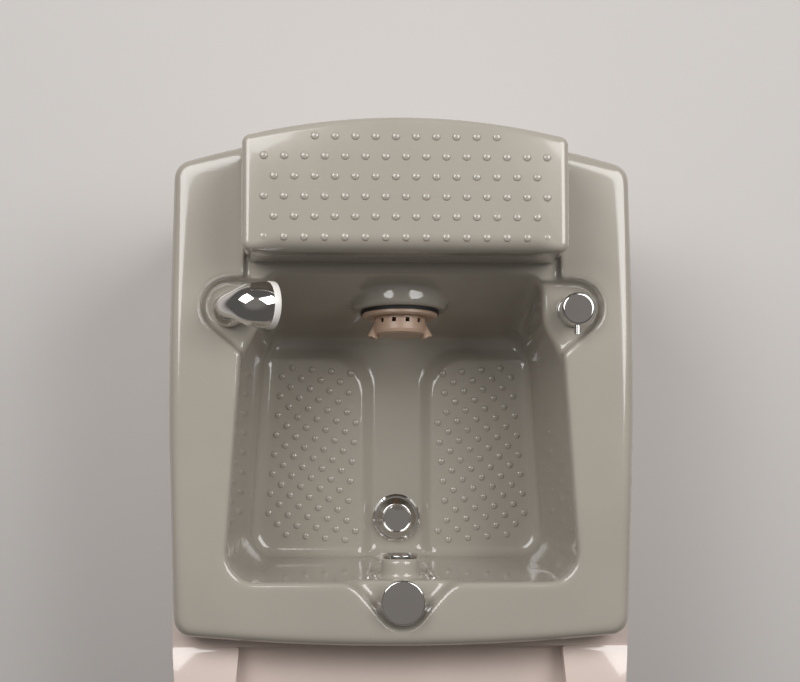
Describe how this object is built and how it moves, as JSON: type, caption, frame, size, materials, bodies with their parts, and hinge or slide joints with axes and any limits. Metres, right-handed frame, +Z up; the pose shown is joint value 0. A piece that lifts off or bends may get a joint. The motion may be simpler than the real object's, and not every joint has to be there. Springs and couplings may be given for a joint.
{
  "type": "pedicure foot bath",
  "caption": "Moulded foot bath with a raised footrest, hand sprayer, lever mixer, waste with a turning knob and a pipeless jet, on a moulded base with side wings.",
  "frame": {"origin": "on the floor, under the centre of the box that holds the module", "axes": "+Y to the technician's side, where the footrest is; +X to the seated person's left; +Z up"},
  "size_m": [0.6142, 0.87, 0.4972],
  "materials": {
    "tub_gelcoat": "polished gelcoat",
    "base_gelcoat": "polished gelcoat",
    "chrome": "polished",
    "grey_plastic": "smooth",
    "beige_plastic": "smooth",
    "black_rubber": "matt",
    "steel_screws": "satin",
    "painted_steel": "powder coat",
    "brass": "machined",
    "white_plastic": "moulded",
    "dark_plastic": "moulded",
    "plywood": "raw"
  },
  "bodies": {
    "bath": {"base_rails": "painted_steel", "base_shell": "base_gelcoat", "cable_gland": "white_plastic", "cold_hose": "dark_plastic", "cold_inlet": "brass", "connection_plate": "painted_steel", "control_box": "dark_plastic", "cross_rails": "painted_steel", "deck_core": "plywood", "drain_body": "white_plastic", "drain_cable": "black_rubber", "drain_flange": "chrome", "drain_gasket": "black_rubber", "drain_locknut": "white_plastic", "foot_pads": "black_rubber", "footrest_guides": "white_plastic", "hot_hose": "dark_plastic", "hot_inlet": "brass", "jet_flange": "beige_plastic", "jet_gasket": "black_rubber", "jet_locknut": "white_plastic", "jet_motor": "dark_plastic", "knob_collar": "chrome", "knob_housing": "white_plastic", "levelling_feet": "steel_screws", "mixed_hose": "dark_plastic", "mixer_base": "chrome", "mixer_locknut": "brass", "mixer_valve": "brass", "motor_cable": "black_rubber", "motor_clamp": "white_plastic", "overflow_elbow": "white_plastic", "overflow_pipe": "white_plastic", "overflow_plate": "grey_plastic", "panel_screws": "steel_screws", "rim_gasket": "black_rubber", "service_panel": "base_gelcoat", "socket_locknut": "brass", "spray_hose_loop": "steel_screws", "spray_socket": "chrome", "supply_cable": "black_rubber", "tub": "tub_gelcoat", "uprights": "painted_steel", "waste_pipe": "white_plastic", "waste_tee": "white_plastic"},
    "footrest": {"footrest": "tub_gelcoat", "footrest_plate": "painted_steel", "footrest_posts": "steel_screws"},
    "stopper": {"drain_stopper": "chrome", "stopper_seal": "black_rubber"},
    "knob": {"drain_knob": "chrome"},
    "jet_cover": {"jet_cover": "beige_plastic"},
    "impeller": {"jet_impeller": "beige_plastic", "jet_shaft": "steel_screws"},
    "turret": {"mixer_turret": "chrome"},
    "handle": {"mixer_handle": "chrome"},
    "sprayer": {"hand_sprayer": "chrome", "spray_face": "grey_plastic", "spray_hose": "steel_screws"}
  },
  "joints": [
    {"name": "footrest_lift", "type": "slide", "parent": "bath", "child": "footrest", "axis": [0, 0, 1], "range_m": [0, 0.075]},
    {"name": "knob_turn", "type": "hinge", "parent": "bath", "child": "knob", "pos_m": [0, -0.186, 0.4], "axis": [0, 0, 1], "range_deg": [0, 90]},
    {"name": "stopper_drop", "type": "slide", "parent": "bath", "child": "stopper", "axis": [0, 0, -1], "range_m": [0, 0.0081]},
    {"name": "cover_pull", "type": "slide", "parent": "bath", "child": "jet_cover", "axis": [0, -0.9976, 0.0698], "range_m": [0, 0.06]},
    {"name": "impeller_spin", "type": "hinge", "parent": "bath", "child": "impeller", "pos_m": [0, 0.202, 0.285], "axis": [0, -0.9976, 0.0698], "continuous": true},
    {"name": "mixer_turn", "type": "hinge", "parent": "bath", "child": "turret", "pos_m": [0.2285, 0.1945, 0.4], "axis": [0, 0, 1], "range_deg": [-50, 50]},
    {"name": "mixer_tilt", "type": "hinge", "parent": "turret", "child": "handle", "pos_m": [0.2285, 0.1945, 0.405], "axis": [-1, 0, 0], "range_deg": [0, 15]},
    {"name": "sprayer_lift", "type": "slide", "parent": "bath", "child": "sprayer", "axis": [0, 0, 1], "range_m": [0, 0.2]}
  ],
  "couplings": [
    {"joint": "stopper_drop", "follows": "knob_turn", "m_per_rad": 0.005093}
  ]
}
